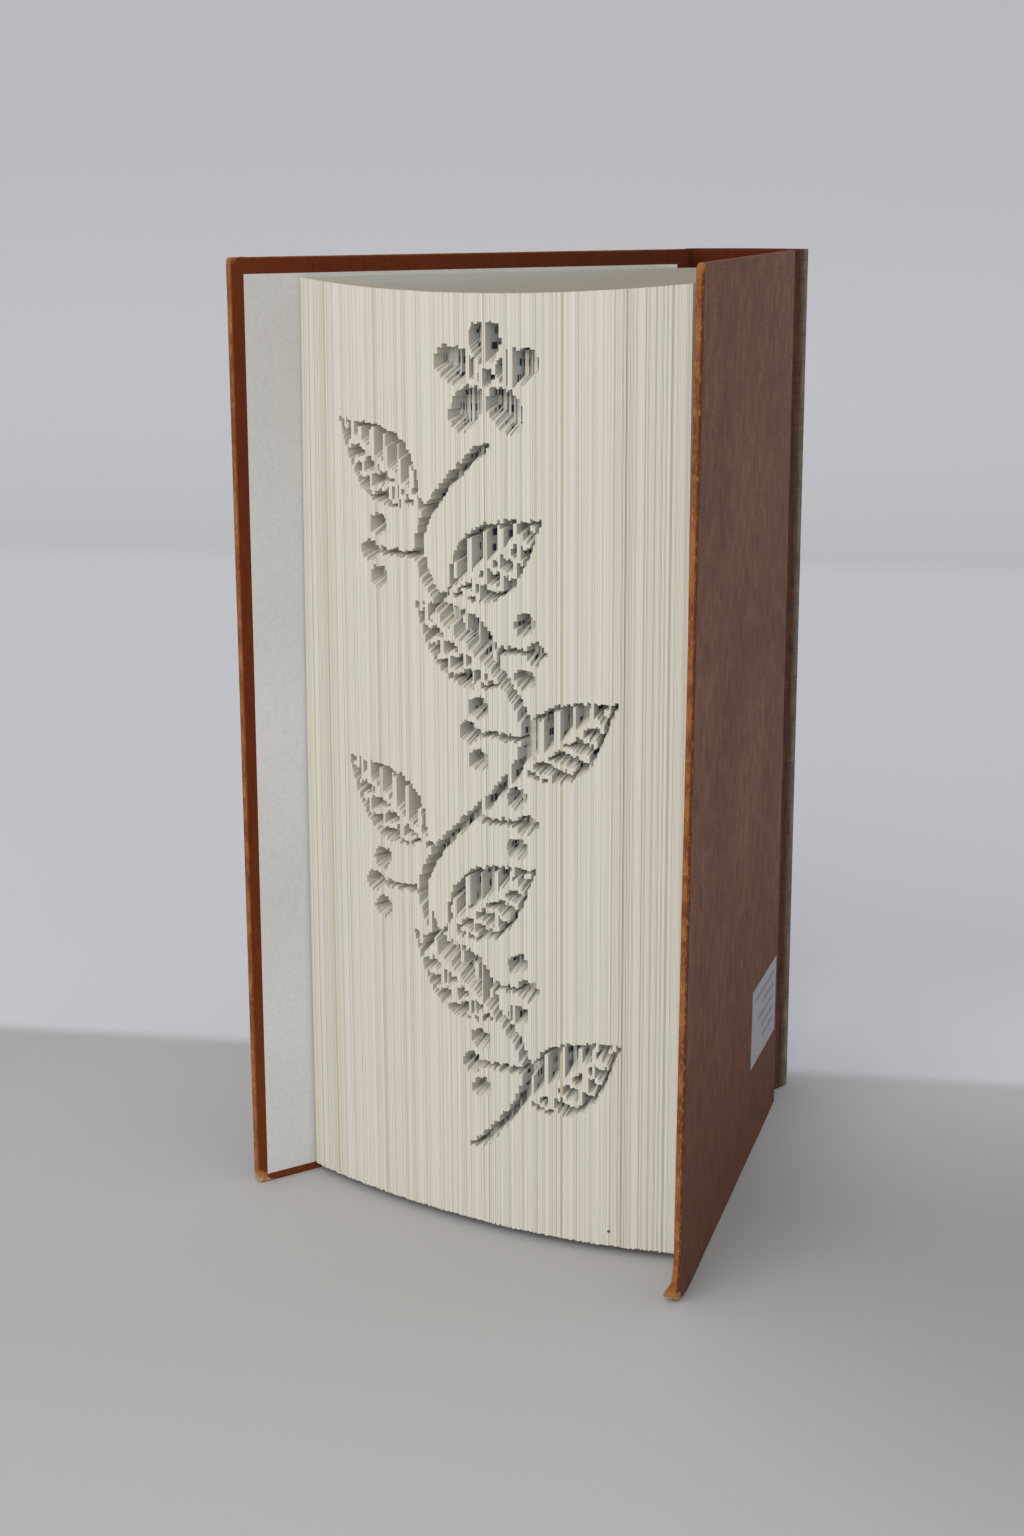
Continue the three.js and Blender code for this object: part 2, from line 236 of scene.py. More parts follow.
class Finish:
    """A node material around one Principled BSDF."""

    def __init__(self, name, roughness, **constants):
        self.material = bpy.data.materials.new(name)
        self.material.use_nodes = True
        self.tree = self.material.node_tree
        self.surface = self.tree.nodes["Principled BSDF"]
        self.surface.inputs["Roughness"].default_value = roughness
        for key, value in constants.items():
            self.surface.inputs[key.replace("_", " ")].default_value = value
        self.place = self.add("ShaderNodeTexCoord").outputs["Object"]

    def add(self, kind, **settings):
        node = self.tree.nodes.new(kind)
        for key, value in settings.items():
            setattr(node, key, value)
        return node

    def feed(self, socket, value):
        if isinstance(value, bpy.types.NodeSocket):
            self.tree.links.new(value, socket)
        else:
            socket.default_value = value

    def math(self, operation, *values):
        node = self.add("ShaderNodeMath", operation=operation)
        for socket, value in zip(node.inputs, values):
            self.feed(socket, value)
        return node.outputs[0]

    def times(self, first, second):
        return self.math("MULTIPLY", first, second)

    def vector(self, operation, *values):
        node = self.add("ShaderNodeVectorMath", operation=operation)
        for socket, value in zip(node.inputs, values):
            self.feed(socket, value)
        scalar = operation in ("DOT_PRODUCT", "LENGTH", "DISTANCE")
        return node.outputs["Value" if scalar else "Vector"]

    def combine(self, x, y, z):
        node = self.add("ShaderNodeCombineXYZ")
        for socket, value in zip(node.inputs, (x, y, z)):
            self.feed(socket, value)
        return node.outputs[0]

    def split(self, vector):
        node = self.add("ShaderNodeSeparateXYZ")
        self.feed(node.inputs[0], vector)
        return node.outputs

    def noise(self, vector, detail=2.0, roughness=0.5):
        node = self.add("ShaderNodeTexNoise")
        self.feed(node.inputs["Vector"], vector)
        node.inputs["Scale"].default_value = 1.0
        node.inputs["Detail"].default_value = detail
        node.inputs["Roughness"].default_value = roughness
        return node.outputs["Fac"]

    def grained(self, scale, detail=2.0, roughness=0.5):
        """Noise with a scale for each axis."""
        return self.noise(self.vector("MULTIPLY", self.place, scale), detail, roughness)

    def step(self, value, low, high):
        """0 below low and 1 above high, smooth between them. low may be above high."""
        node = self.add("ShaderNodeMapRange", interpolation_type="SMOOTHSTEP")
        self.feed(node.inputs["Value"], value)
        for key, number in (("From Min", low), ("From Max", high), ("To Min", 0.0), ("To Max", 1.0)):
            node.inputs[key].default_value = number
        return node.outputs["Result"]

    def mix(self, share, first, second, blend="MIX"):
        node = self.add("ShaderNodeMix", data_type="RGBA", blend_type=blend)
        self.feed(node.inputs[0], share)
        self.feed(node.inputs[6], first)
        self.feed(node.inputs[7], second)
        return node.outputs[2]

    def tint(self, base, factor):
        return self.mix(1.0, base, factor, "MULTIPLY")

    def ramp(self, share, *stops):
        node = self.add("ShaderNodeValToRGB")
        self.feed(node.inputs["Fac"], share)
        elements = node.color_ramp.elements
        while len(elements) < len(stops):
            elements.new(0.5)
        for element, (position, colour) in zip(elements, stops):
            element.position = position
            element.color = colour
        return node.outputs["Color"]

    def colour(self, value):
        self.feed(self.surface.inputs["Base Color"], value)

    def bump(self, height, distance, strength=1.0):
        node = self.add("ShaderNodeBump")
        self.feed(node.inputs["Height"], height)
        node.inputs["Distance"].default_value = distance
        node.inputs["Strength"].default_value = strength
        self.feed(self.surface.inputs["Normal"], node.outputs["Normal"])


def book_cloth(name, origin, along, outer_face, spine=False):
    """Brown woven cloth: greyer brown on the outer faces, darker and redder on the turn-ins.

    along is the direction of the piece's own x, measured from origin.
    """
    finish = Finish(name, 0.8, Specular_IOR_Level=0.18, Sheen_Weight=0.04, Sheen_Roughness=0.5)
    local = finish.vector("SUBTRACT", finish.place, origin)
    x = finish.vector("DOT_PRODUCT", local, along)
    z = finish.split(finish.place)[2]

    def fibres(fine, long, offset, detail=3):
        return finish.noise(finish.combine(finish.times(x, fine), offset, finish.times(z, long)), detail)

    warp = finish.times(fibres(2300, 150, 0.0), 0.62)
    weft = finish.times(fibres(150, 2300, 7.0), 0.38)
    thread = finish.math("ADD", warp, weft)
    slub = fibres(800, 160, 4.0)
    cloud = fibres(26, 18, 3.0, 4)
    if spine and outer_face:
        # Painted shade and light: dark red-brown deep in the groove, paler and greyer out on the ridge, where it
        # catches the light.
        behind = finish.vector("DOT_PRODUCT", local, (-along[1], along[0], 0.0))
        shades = (0.35, rgb(84, 50, 36)), (0.41, rgb(92, 74, 58)), (0.475, rgb(114, 103, 90))
        base = finish.ramp(finish.times(behind, 50), *shades)
    elif outer_face:
        base = finish.ramp(cloud, (0.3, rgb(103, 69, 49)), (0.7, rgb(125, 85, 61)))
        base = finish.mix(finish.step(z, 0.11, 0.0), base, rgb(95, 50, 20))
        # Painted shade in the joint groove: darker within 4.5 mm of the hinge line. This also darkens the joint
        # cloth.
        base = finish.mix(finish.step(x, 0.0045, 0.002), base, rgb(94, 48, 29))
    else:
        base = finish.ramp(cloud, (0.3, rgb(92, 36, 5)), (0.7, rgb(104, 44, 9)))
        # Painted shade of the block: the turn-ins are lighter towards the tail and darker towards the hinge.
        base = finish.mix(finish.step(z, 0.12, 0.0), base, rgb(112, 51, 13))
        base = finish.mix(finish.step(x, 0.12, 0.0), base, rgb(82, 31, 5))
    if outer_face:
        dark, light = (0.55, 0.52, 0.5, 1), (1.45, 1.45, 1.5, 1)
        threads = finish.ramp(thread, (0.34, dark), (0.5, grey(1)), (0.68, light))
        slubs = finish.ramp(slub, (0.3, (0.78, 0.76, 0.74, 1)), (0.7, (1.2, 1.22, 1.24, 1)))
        streak = fibres(280, 120, 11.0)
        streak = finish.ramp(streak, (0.34, (0.8, 0.79, 0.77, 1)), (0.66, (1.19, 1.2, 1.22, 1)))
        slubs = finish.tint(slubs, streak)
        if spine:
            slubs = finish.mix(0.6, slubs, grey(1))
    else:
        dark, light = (0.78, 0.74, 0.7, 1), (1.2, 1.22, 1.25, 1)
        threads = finish.ramp(thread, (0.34, dark), (0.5, grey(1)), (0.68, light))
        slubs = finish.ramp(slub, (0.3, (0.92, 0.91, 0.9, 1)), (0.7, (1.08, 1.09, 1.1, 1)))
    base = finish.tint(finish.tint(base, threads), slubs)
    if not spine:
        base = worn_edges(finish, base, x, z, slub, outer_face)
    finish.colour(base)
    finish.bump(thread, 0.00025, 0.6)
    return finish.material


def worn_edges(finish, base, x, z, slub, outer_face):
    """A cover's colour with its edges rubbed and its corners worn."""
    fore = finish.math("SUBTRACT", REACH / 1000, x)
    head = finish.math("SUBTRACT", HEIGHT / 1000, z)
    ends = finish.math("ADD", finish.math("MINIMUM", z, head), 0.0004)
    nearest = finish.math("MINIMUM", fore, ends)
    if outer_face:
        base = finish.mix(finish.step(nearest, 0.0009, 0.0004), base, rgb(92, 48, 27))
    else:
        rim = finish.mix(finish.step(slub, 0.35, 0.65), rgb(116, 58, 24), rgb(152, 94, 48))
        base = finish.mix(finish.step(nearest, 0.0008, 0.0002), base, rim)
    rub = finish.grained((2600, 2600, 700), 3, 0.7)
    rubbed = finish.times(finish.step(nearest, 0.0007, 0.0001), finish.step(rub, 0.5, 0.75))
    base = finish.mix(finish.times(rubbed, 0.7), base, rgb(186, 140, 84))
    for corner, worn, size in ((z, rgb(170, 120, 68), 0.0062), (head, rgb(146, 92, 46), 0.0044)):
        away = finish.vector("LENGTH", finish.combine(fore, corner, 0.0))
        ragged = finish.math("ADD", away, finish.times(rub, 0.004))
        base = finish.mix(finish.step(ragged, size, size - 0.0014), base, worn)
    away = finish.vector("LENGTH", finish.combine(fore, z, 0.0))
    tip = finish.math("ADD", away, finish.times(z, 2.0))
    torn = finish.times(finish.step(tip, 0.0062, 0.0048), finish.step(rub, 0.46, 0.56))
    return finish.mix(torn, base, rgb(206, 184, 144))


def endpaper():
    finish = Finish("endpaper", 0.85, Specular_IOR_Level=0.2)
    fibre = finish.grained((900, 900, 900), 4, 0.6)
    cloud = finish.grained((30, 30, 30), 3)
    base = finish.ramp(cloud, (0.35, rgb(213, 213, 211)), (0.65, rgb(219, 219, 217)))
    z = finish.split(finish.place)[2]
    # Painted shade: the endpaper greys towards the head.
    base = finish.mix(finish.step(z, 0.13, 0.235), base, rgb(203, 201, 197))
    speckle = finish.ramp(fibre, (0.3, grey(0.94)), (0.6, grey(1.02)))
    finish.colour(finish.tint(base, speckle))
    finish.bump(fibre, 0.0001, 0.3)
    return finish.material


FLECKS = (-0.0544, -0.0561, 0.1535), (0.0353, -0.0539, 0.006)  # dark ones on the fore edge, in metres


def fan_angle(finish, x, y, apex):
    """How far a place lies round the fan from its middle, seen from the apex on the middle line."""
    return finish.math("ARCTAN2", x, finish.math("SUBTRACT", apex / 1000, y))


def leaf_edge():
    """The cut fore and lower edges of the leaves, each leaf a little different."""
    finish = Finish("leaf_edge", 0.9, Specular_IOR_Level=0.15)
    island = finish.add("ShaderNodeNewGeometry").outputs["Random Per Island"]
    base = finish.ramp(
        island,
        (0.0, rgb(194, 180, 160)),
        (0.08, rgb(203, 194, 178)),
        (0.14, rgb(210, 205, 193)),
        (0.6, rgb(213, 209, 199)),
        (1.0, rgb(216, 213, 205)),
    )
    x, y, z = finish.split(finish.place)
    turn = fan_angle(finish, x, y, ROOT_Y)
    bands = finish.noise(finish.combine(finish.times(turn, 70), 0.0, finish.times(z, 1.5)), 4, 0.7)
    band = finish.ramp(bands, (0.35, (0.975, 0.968, 0.955, 1)), (0.6, (1.01, 1.01, 1.0, 1)))
    fine = finish.noise(finish.combine(finish.times(turn, 900), 2.0, finish.times(z, 9)), 3)
    grain = finish.ramp(fine, (0.3, (0.96, 0.95, 0.94, 1)), (0.6, grey(1.02)))
    base = finish.tint(base, band)
    for fleck in FLECKS:
        away = finish.vector("DISTANCE", finish.place, fleck)
        base = finish.mix(finish.step(away, 0.0006, 0.0002), base, rgb(70, 58, 48))
    finish.colour(finish.tint(base, grain))
    finish.bump(fine, 0.0001, 0.4)
    return finish.material


def leaf_head():
    """The cut upper ends of the leaves, fine lines running from the roots to the fore edge."""
    finish = Finish("leaf_head", 0.9, Specular_IOR_Level=0.15)
    x, y, _ = finish.split(finish.place)
    turn = fan_angle(finish, x, y, ROOT_Y + BLOCK / 2 / math.tan(FAN_HALF))
    lines = finish.noise(finish.combine(finish.times(turn, 420), finish.times(y, 12), 0.0), 4, 0.7)
    shades = (0.3, rgb(149, 139, 122)), (0.55, rgb(158, 148, 131)), (0.75, rgb(166, 157, 141))
    finish.colour(finish.ramp(lines, *shades))
    finish.bump(lines, 0.0001, 0.2)
    return finish.material


def page():
    """A leaf's printed face: rows of short dark dashes on greyish white."""
    finish = Finish("page", 0.85, Specular_IOR_Level=0.15)
    x, y, z = finish.split(finish.place)
    out = finish.vector("LENGTH", finish.combine(x, finish.math("SUBTRACT", y, ROOT_Y / 1000), 0.0))
    island = finish.add("ShaderNodeNewGeometry").outputs["Random Per Island"]
    rows = finish.math("DIVIDE", z, 0.0036)
    row = finish.math("FLOOR", rows)
    spots = finish.combine(finish.times(out, 1100), finish.times(row, 3.7), finish.times(island, 90))
    marks = finish.step(finish.noise(spots, 1), 0.46, 0.54)
    ink = finish.times(marks, finish.step(finish.math("FRACT", rows), 0.5, 0.42))
    turn = finish.math("DIVIDE", fan_angle(finish, x, y, ROOT_Y), FAN_HALF)
    bowed = finish.times(finish.times(turn, turn), BOW / 1000)
    inside = finish.math("SUBTRACT", finish.math("SUBTRACT", LEAF_WIDTH / 1000, bowed), out)
    ink = finish.times(ink, finish.step(inside, 0.0022, 0.0034))
    ink = finish.times(ink, finish.step(z, FIRST_ROW, FIRST_ROW - 0.0005))
    paper = finish.mix(finish.step(inside, 0.0008, 0.0028), rgb(207, 200, 188), rgb(200, 202, 198))
    finish.colour(finish.mix(ink, paper, rgb(58, 60, 70)))
    return finish.material


def label_paper(origin, along):
    """Bluish white paper with ruled bars of unlike lengths."""
    finish = Finish("label_paper", 0.6, Specular_IOR_Level=0.4)
    local = finish.vector("SUBTRACT", finish.place, origin)
    across = finish.vector("DOT_PRODUCT", local, along)
    lean = -math.sin(LABEL_TILT)
    up = finish.vector("DOT_PRODUCT", local, (lean * along[0], lean * along[1], math.cos(LABEL_TILT)))
    rows = finish.math("DIVIDE", up, 0.0033)
    reach = finish.add("ShaderNodeTexWhiteNoise", noise_dimensions="1D")
    finish.feed(reach.inputs["W"], finish.math("FLOOR", rows))
    end = finish.math("MULTIPLY_ADD", reach.outputs["Value"], 0.014, 0.002)
    ink = finish.step(finish.math("FRACT", rows), 0.44, 0.38)
    for bar in (
        finish.math("LESS_THAN", across, end),
        finish.math("GREATER_THAN", across, -0.0155),
        finish.math("LESS_THAN", finish.math("ABSOLUTE", up), 0.0088),
    ):
        ink = finish.times(ink, bar)
    grain = finish.grained((500, 500, 500), 3)
    paper = finish.ramp(grain, (0.3, rgb(158, 156, 159)), (0.7, rgb(168, 166, 169)))
    finish.colour(finish.mix(finish.times(ink, 0.6), paper, rgb(100, 107, 126)))
    finish.bump(grain, 0.00005, 0.3)
    return finish.material


def gauze():
    finish = Finish("gauze", 0.95, Specular_IOR_Level=0.1)
    x, _, z = finish.split(finish.place)
    threads = []
    for value in (x, z):
        wave = finish.math("SINE", finish.times(value, 2 * math.pi / 0.0011))
        threads.append(finish.step(wave, -0.2, 0.6))
    weave = finish.math("MAXIMUM", *threads)
    finish.colour(finish.mix(weave, rgb(150, 138, 116), rgb(208, 201, 182)))
    finish.bump(weave, 0.0002, 0.6)
    return finish.material


def kraft():
    finish = Finish("kraft", 0.9, Specular_IOR_Level=0.15)
    fibre = finish.grained((700, 700, 120), 4, 0.65)
    finish.colour(finish.ramp(fibre, (0.3, rgb(132, 100, 68)), (0.7, rgb(166, 132, 94))))
    finish.bump(fibre, 0.0001, 0.4)
    return finish.material


# Plan of the block


def towards_front(t):
    """0 from the middle leaf to the rear one, and 1 at the front one."""
    return max(0.0, -t) ** 2


def leaf_reach(t):
    return LEAF_WIDTH - BOW * t * t - SKEW * t + FRONT_REACH * towards_front(t)


def leaf_sag(t):
    """How far a leaf has turned from its place in an even fan, in radians. The front ones lean to their cover."""
    return -0.004 - 0.0034 * t - FRONT_SAG * towards_front(t)


def leaf_lean(t, z):
    """How much further a leaf reaches near the tail: the front ones have slid forward there."""
    return FRONT_LEAN * (1 - (z / HEIGHT) ** 2) * towards_front(t)


def leaf_point(t, reach, sag=0.0):
    """A point on a leaf. sag is how far, in radians, it has turned from its place in an even fan."""
    tilt = math.asin(COCKED / BLOCK)
    root = t * BLOCK / 2
    return (
        root * math.cos(tilt) + reach * math.sin(t * FAN_HALF + sag),
        ROOT_Y + root * math.sin(tilt) - reach * math.cos(t * FAN_HALF + sag),
    )


# Leaves


def cut_mask(across, up):
    """Where the sprig is cut, for one place along the fore edge and an array of heights."""
    turn = 2 * math.pi / STEM_PITCH
    centre = STEM_SWING * np.sin(turn * (up - STEM_FOOT))
    slope = STEM_SWING * turn * np.cos(turn * (up - STEM_FOOT))
    mask = (up > STEM_FOOT) & (up < STEM_TOP) & (np.abs(across - centre) < STEM_HALF * np.hypot(1, slope))

    def from_stem(height):
        return across - STEM_SWING * math.sin(turn * (height - STEM_FOOT))

    for index in range(FOLIAGE_COUNT):
        side = -1 if index % 2 else 1
        joint = FOLIAGE_FIRST + index * FOLIAGE_SPACING
        dx = from_stem(joint) * side
        dz = up - joint
        along = dx * math.cos(FOLIAGE_RISE) + dz * math.sin(FOLIAGE_RISE)
        beside = np.abs(dz * math.cos(FOLIAGE_RISE) - dx * math.sin(FOLIAGE_RISE))
        share = np.clip((along - FOLIAGE_STALK) / FOLIAGE_LENGTH, 0, 1)
        half = FOLIAGE_HALF_WIDTH * np.sin(math.pi * share**FOLIAGE_FULLNESS)
        blade = (beside < half) & ((beside > RIB_HALF) | (share > RIB_END))
        vein = (np.mod(along - 0.75 * beside, VEIN_PITCH) < VEIN_WIDTH) & (beside < half - FOLIAGE_RIM)
        vein &= share > 0.1
        stalk = (along > 0) & (along < FOLIAGE_STALK) & (beside < STALK_HALF)
        mask |= (blade & ~vein) | stalk
        if index < FOLIAGE_COUNT - 1:
            middle = joint + FOLIAGE_SPACING / 2
            dx = from_stem(middle) * -side
            dz = up - middle
            mask |= (dx > 0) & (dx < BERRY_REACH) & (np.abs(dz) < STALK_HALF)
            for n in (-1, 0, 1):
                out = dx - BERRY_REACH - BERRY_RADIUS * (1 - abs(n))
                mask |= np.hypot(out, dz - n * BERRY_SPREAD) < BERRY_RADIUS
    dx = from_stem(STEM_TOP)
    dz = up - STEM_TOP - BLOOM_RISE
    radius = np.hypot(dx, dz)
    angle = np.arctan2(dx, dz)
    sector = 2 * math.pi / BLOOM_PETALS
    off = angle - sector * np.round(angle / sector)
    beside = radius * np.sin(off) / PETAL_HALF_WIDTH
    petal = np.hypot((radius * np.cos(off) - BLOOM_RING) / PETAL_HALF_LENGTH, beside)
    mask |= (petal < 1) | (radius < BLOOM_HEART)
    return mask


def cuts_at(across, dice):
    """[low, high, depth] of the cuts in the leaves at one place along the fore edge."""
    up = np.arange(18, 226, 0.25)
    mask = cut_mask(across, up)
    edges = np.flatnonzero(np.diff(np.concatenate(([0], mask.astype(int), [0]))))
    cuts = []
    for low, high in zip(up[edges[::2]], up[np.minimum(edges[1::2], len(up) - 1)]):
        low += dice.uniform(-CUT_RAGGED, CUT_RAGGED)
        high += dice.uniform(-CUT_RAGGED, CUT_RAGGED)
        if high - low > SHORTEST_CUT and (not cuts or low - cuts[-1][1] > SHORTEST_BRIDGE):
            cuts.append((low, high, dice.uniform(*CUT_DEPTHS)))
    return cuts


def leaf_profile(reach, low, high, cuts):
    """A leaf's outline as (distance from its root, height), from the lower root corner to the upper one."""
    profile = [(0, low), (reach, low)]
    if not cuts:
        profile += [(reach, 60), (reach, 120), (reach, 180)]
    for bottom, top, depth in cuts:
        rise = min(0.5 * (top - bottom), 0.5 * depth)
        inner = reach - depth
        profile += [(reach, bottom), (inner, bottom + rise), (inner, top), (reach, top)]
    return profile + [(reach, high), (0, LEAF_HEAD)]


def leaves():
    """The whole block, leaf by leaf. The leaves lie in small bundles that share their cuts."""
    dice = random.Random(11)
    points, faces, kinds = [], [], []
    step = 2 / LEAF_COUNT
    left = 0
    for index in range(LEAF_COUNT):
        if left == 0:
            left = dice.choice((1, 2, 2, 3, 3))
            cuts = cuts_at(((index + left / 2) * step - 1) * FORE_HALF, dice)
        gap = dice.choice(GAPS)
        left -= 1
        t0 = -1 + (index + gap / 2) * step
        t1 = -1 + (index + 1 - gap / 2) * step
        middle = (t0 + t1) / 2
        reach = leaf_reach(middle) + max(-0.15, min(0.08, dice.gauss(-0.03, 0.035)))
        yaw = dice.uniform(-0.01, 0.01)
        low = LEAF_TAIL + dice.uniform(0, 0.45)
        high = LEAF_HEAD - dice.uniform(0, 0.04) - HEAD_DIP * (1 - middle * middle)
        profile = leaf_profile(reach, low, high, cuts)
        first, count = len(points), len(profile)
        for t, lift in ((t0, yaw), (t1, -yaw)):
            for r, z in profile:
                further = lift + leaf_lean(t, z) if r > 0 else 0
                points.append((*leaf_point(t, r + further, leaf_sag(t)), z))
        faces.append(tuple(range(first, first + count)))
        faces.append(tuple(range(first + 2 * count - 1, first + count - 1, -1)))
        kinds += [1, 1]
        for k in range(count):
            n = (k + 1) % count
            faces.append((first + k, first + count + k, first + count + n, first + n))
            kinds.append(2 if k == count - 2 else 0)
    return solid("leaves", points, faces, [leaf_edge(), page(), leaf_head()], kinds)


def flyleaf(name, material):
    """The front free endpaper, lying along the outermost leaf."""
    turn = -FAN_HALF + leaf_sag(-1)

    def pair(reach, z):
        x, y = leaf_point(-1, reach + leaf_lean(-1, z) * reach / LEAF_WIDTH, leaf_sag(-1))
        return [(x - off * math.cos(turn), y - off * math.sin(turn), z) for off in FREE_LEAF_FACES]

    across = spaced(FREE_LEAF_MARGIN, leaf_reach(-1) - FREE_LEAF_MARGIN, 4.0)
    return sheet(name, across, spaced(LEAF_TAIL, LEAF_HEAD, 6.0), pair, [material], crease=30)


# Covers. In a cover's own plan x runs from the hinge line to the fore edge, and y out of the book.


def hinge_at(side):
    x, y = leaf_point(side, SHOULDER)
    stack = LEAF_CLEARANCE + FLYLEAF + LEAF_CLEARANCE + CLOTH / 2
    return x + side * math.cos(FAN_HALF) * stack, y + math.sin(FAN_HALF) * stack


def cover_point(side, x, y, z):
    hx, hy = hinge_at(side)
    s, c = math.sin(COVER_TURN), math.cos(COVER_TURN)
    return hx + side * (s * x + c * y), hy - c * x + s * y, z


def drift(side, x, z, inside=False):
    """How far a cover has warped outwards at a place on it. The back one's lower corner is bumped inwards."""
    move = 0.1 * noise.noise(Vector((x / 38, side * 5.0, z / 52))) * smooth((x - 8) / 20)
    if side == -1:
        move += (0.8 - 1.05 * z / HEIGHT) * x / REACH
    else:
        away = math.hypot(REACH - x, z)
        move += (0.25 + 2.0 * z / HEIGHT) * x / REACH - 0.5 * smooth(1 - away / 14)
        move -= (2.9 if inside else 0.2) * smooth(1 - away / 7.0)
    return move


def outline(side, x, z):
    """A grid place moved so that the two corners at the fore edge are rounded."""
    for radius, flip in zip(CORNER[side], (False, True)):
        up = HEIGHT - z if flip else z
        a, b = (x - REACH + radius) / radius, (radius - up) / radius
        if a > 0 and b > 0:
            scale = max(a, b) / math.hypot(a, b)
            x = REACH - radius + radius * a * scale
            up = radius - radius * b * scale
            return x, HEIGHT - up if flip else up
    return x, z


def cover_levels(x):
    """Outer and inner face of a cover at a distance from the hinge."""
    outer = CLOTH / 2 + (COVER_FACE - CLOTH / 2) * smooth((x - 2.7) / 2.0)
    inner = -CLOTH / 2 + (TURN_IN_FACE + CLOTH / 2) * smooth((x - 2.7) / 1.8)
    return outer, inner


def cover(side, name, materials):
    """The cloth round a board, with its rounded edges and its frayed corners."""
    xs = [2.6, 2.8, 3.0, 3.2, 3.4, 3.6, 3.8, 4.0, 4.25, 4.5, 4.75, 5.1, 5.8, 7.5]
    xs += spaced(10.5, REACH - 6, PITCH) + [REACH - d for d in EDGE[-2::-1]]

    def pair(x, z):
        high, low = cover_levels(x)
        edge = min(REACH - x, z, HEIGHT - z)
        drop = rounded(edge, min(0.6, (high - low) * 0.45))
        px, pz = outline(side, x, z)
        fray = 0.0
        if math.hypot(REACH - x, min(z, HEIGHT - z)) < 5 and edge < 1.2:
            bumped = side == 1 and z < HEIGHT / 2
            fray = (0.34 if bumped else 0.16) * noise.noise(Vector((px * 1.7, side * 9.0, pz * 1.7)))
        return (
            cover_point(side, px + fray, high - drop + drift(side, px, pz), pz + abs(fray)),
            cover_point(side, px + fray, low + drop + drift(side, px, pz, True), pz + abs(fray)),
        )

    return sheet(name, xs, heights(), pair, materials)


def joint(side, name, materials):
    """The cloth between a cover and the spine."""

    def pair(x, z):
        level = CLOTH / 2 - rounded(min(z, HEIGHT - z), 0.2)
        return cover_point(side, x, level, z), cover_point(side, x, -level, z)

    return sheet(name, spaced(-HINGE_GAP, JOINT_END, 0.32), heights(), pair, materials)


def paper_rows():
    return spaced(PASTE_MARGIN_TAIL, HEIGHT - PASTE_MARGIN_HEAD, PITCH)


def joint_paper(side, name, material):
    """The endpaper where it crosses from the flyleaf to the cover, inside the cloth of the joint."""
    start = -0.74 if side == -1 else -0.46
    end = TURN_IN_FACE - PAPER_LAP

    def pair(x, z):
        level = start + (end - start) * smooth((x + 0.2) / PASTE_BACK)
        return cover_point(side, x, level, z), cover_point(side, x, level - 0.1, z)

    return sheet(name, spaced(-0.2, PASTE_BACK + 0.3, 0.35), paper_rows(), pair, [material], crease=30)


def pastedown(side, name, material):
    """The half of the endpaper that is glued inside a cover. Its fore margin widens to the head."""

    def pair(x, z):
        move = drift(side, x, z, True)
        slant = 0.4 * (1 - 2 * z / HEIGHT) * x / REACH
        levels = TURN_IN_FACE + 0.01, TURN_IN_FACE - PAPER_LAP
        return [cover_point(side, x + slant, level + move, z) for level in levels]

    across = spaced(PASTE_BACK, REACH - PASTE_MARGIN_FORE, PITCH)
    return sheet(name, across, paper_rows(), pair, [material], crease=30)


def label(name):
    """The paper label, following the back cover's warp."""
    width, height, thickness = LABEL
    centre_x, centre_z = LABEL_HINGE + width / 2, LABEL_TAIL + height / 2
    origin = cover_point(1, centre_x, COVER_FACE, centre_z)
    along = (math.sin(COVER_TURN), -math.cos(COVER_TURN), 0.0)
    paper = label_paper([c / 1000 for c in origin], along)

    def pair(a, b):
        x = centre_x + a * math.cos(LABEL_TILT) - b * math.sin(LABEL_TILT)
        z = centre_z + a * math.sin(LABEL_TILT) + b * math.cos(LABEL_TILT)
        level = COVER_FACE + drift(1, x, z)
        return cover_point(1, x, level + thickness, z), cover_point(1, x, level - 0.03, z)

    across = spaced(-width / 2, width / 2, 2.0)
    return sheet(name, across, spaced(-height / 2, height / 2, 2.0), pair, [paper], crease=30)


# Spine. In its own plan x runs from hinge to hinge, and y back from the line between them.

FRONT_HINGE, BACK_HINGE = hinge_at(-1), hinge_at(1)
SPAN = math.dist(FRONT_HINGE, BACK_HINGE)
HINGE_LINE = math.atan2(BACK_HINGE[1] - FRONT_HINGE[1], BACK_HINGE[0] - FRONT_HINGE[0])
CHORD = SPINE_WIDTH / 2 - RIDGE_RADIUS
ROUND_INSIDE = (CHORD**2 + SPINE_BULGE**2) / (2 * SPINE_BULGE)
ROUND_REACH = math.asin(CHORD / ROUND_INSIDE)
ROUND_CENTRE = RIDGE_BACK - ROUND_INSIDE * math.cos(ROUND_REACH)


